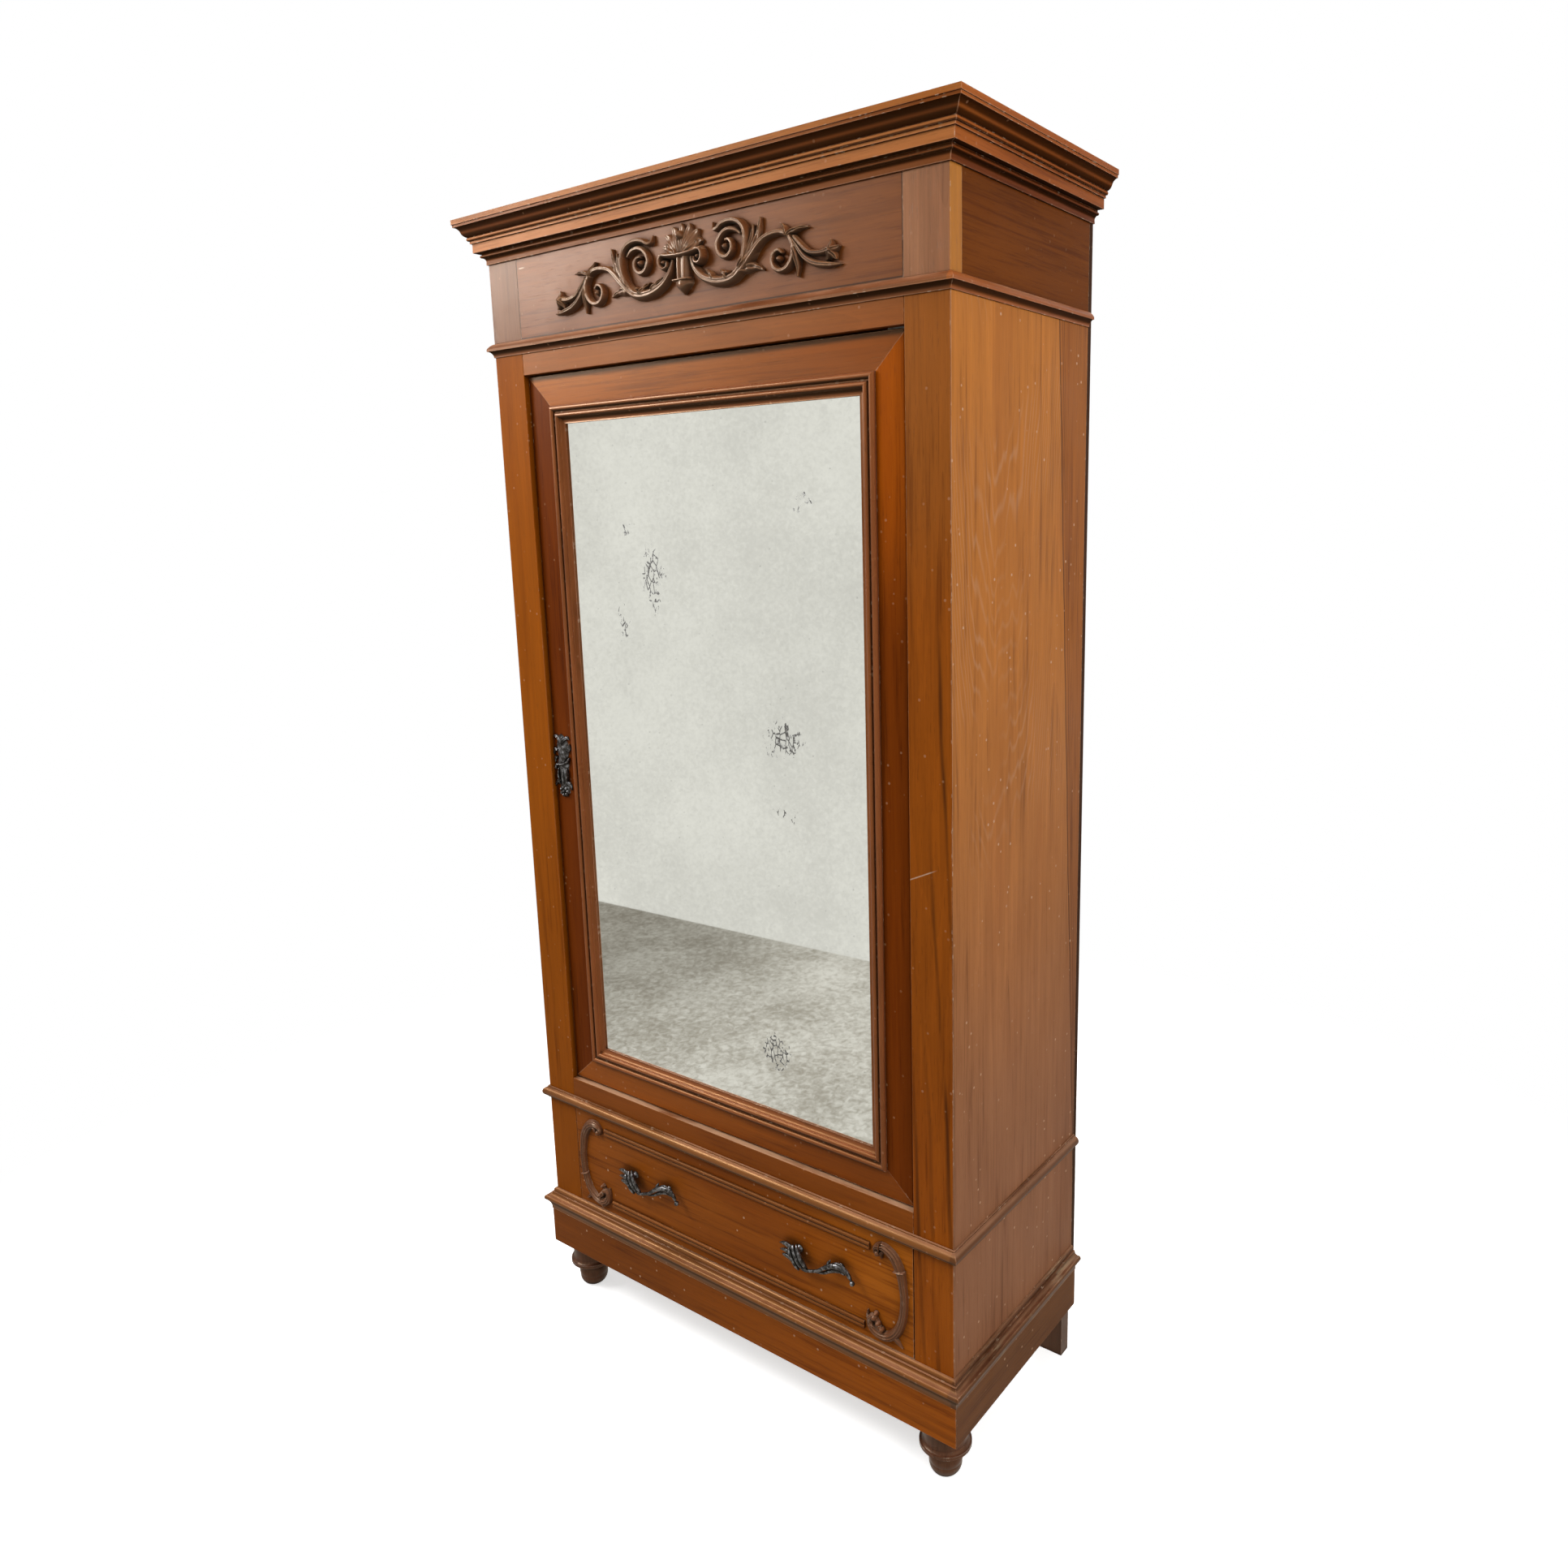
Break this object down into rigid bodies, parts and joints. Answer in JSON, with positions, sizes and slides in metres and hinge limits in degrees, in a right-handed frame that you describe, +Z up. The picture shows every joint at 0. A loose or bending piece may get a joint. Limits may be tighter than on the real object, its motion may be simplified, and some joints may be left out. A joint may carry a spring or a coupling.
{
  "type": "mirrored armoire",
  "caption": "Tall walnut armoire with a mirrored door on pivots, a carved frieze under a stepped cornice, and a scroll-trimmed drawer on a plinth with turned feet.",
  "frame": {"origin": "on the floor, under the middle of the armoire's outline", "axes": "+Z up, -Y out of the mirrored front, +X to the right of someone who faces the front"},
  "size_m": [1.088, 0.494, 2.182],
  "materials": {
    "walnut_front": "satin wax over golden brown walnut",
    "walnut_side": "worn satin wax over walnut veneer",
    "walnut_door": "satin wax over dark red-brown walnut",
    "walnut_moulding": "satin wax, paler on worn edges",
    "walnut_carved": "polished carved walnut, dark in the hollows",
    "walnut_feet": "dark stained turned walnut",
    "inner_wood": "bare aged softwood",
    "mirror": "old silvering with dark foxing",
    "cast_metal": "dark aged silvered bronze",
    "iron": "dull iron"
  },
  "bodies": {
    "carcass": {"front_stile_left": "walnut_front", "front_stile_right": "walnut_front", "side_panel_left": "walnut_side", "side_panel_right": "walnut_side", "base_rail": "walnut_front", "bottom_rail": "walnut_front", "top_rail": "walnut_front", "dust_board": "inner_wood", "cabinet_floor": "inner_wood", "cabinet_ceiling": "inner_wood", "shelves": "inner_wood", "shelf_cleats": "inner_wood", "back_boards": "inner_wood", "frieze_panel": "walnut_front", "frieze_stiles": "walnut_front", "frieze_sides": "walnut_side", "cornice_front": "walnut_moulding", "cornice_left": "walnut_moulding", "cornice_right": "walnut_moulding", "cornice_top": "inner_wood", "base_moulding": "walnut_moulding", "lower_bead": "walnut_moulding", "waist_moulding": "walnut_moulding", "plinth_front": "walnut_moulding", "plinth_left": "walnut_moulding", "plinth_right": "walnut_moulding", "plinth_back": "inner_wood", "corner_blocks": "inner_wood", "front_foot_left": "walnut_feet", "front_foot_right": "walnut_feet", "rear_foot_left": "walnut_feet", "rear_foot_right": "walnut_feet", "drawer_runners": "inner_wood", "drawer_stops": "inner_wood", "door_stops": "inner_wood", "pivot_pins": "iron", "lock_keeper": "iron", "frieze_carving": "walnut_carved"},
    "door": {"door_stile_lock": "walnut_door", "door_stile_hinge": "walnut_door", "door_rail_top": "walnut_door", "door_rail_bottom": "walnut_door", "mirror_moulding": "walnut_moulding", "mirror_glass": "mirror", "mirror_backing": "inner_wood", "mirror_retainers": "inner_wood", "pivot_bushes": "iron", "escutcheon": "cast_metal", "lock_case": "iron"},
    "lock_bolt": {"lock_bolt": "iron"},
    "drawer": {"drawer_front": "walnut_front", "drawer_side_left": "inner_wood", "drawer_side_right": "inner_wood", "drawer_back": "inner_wood", "drawer_bottom": "inner_wood", "drawer_scrolls": "walnut_carved", "drawer_strips": "walnut_carved", "pull_left": "cast_metal", "pull_right": "cast_metal", "pull_bolts": "iron"}
  },
  "joints": [
    {"name": "door_swing", "type": "hinge", "parent": "carcass", "child": "door", "pos_m": [0.4125, -0.185, 0.5095], "axis": [0, 0, 1], "range_deg": [0, 92]},
    {"name": "drawer_slide", "type": "slide", "parent": "carcass", "child": "drawer", "axis": [0, -1, 0], "range_m": [0, 0.3]},
    {"name": "bolt_throw", "type": "slide", "parent": "door", "child": "lock_bolt", "axis": [-1, 0, 0], "range_m": [0, 0.014]}
  ]
}
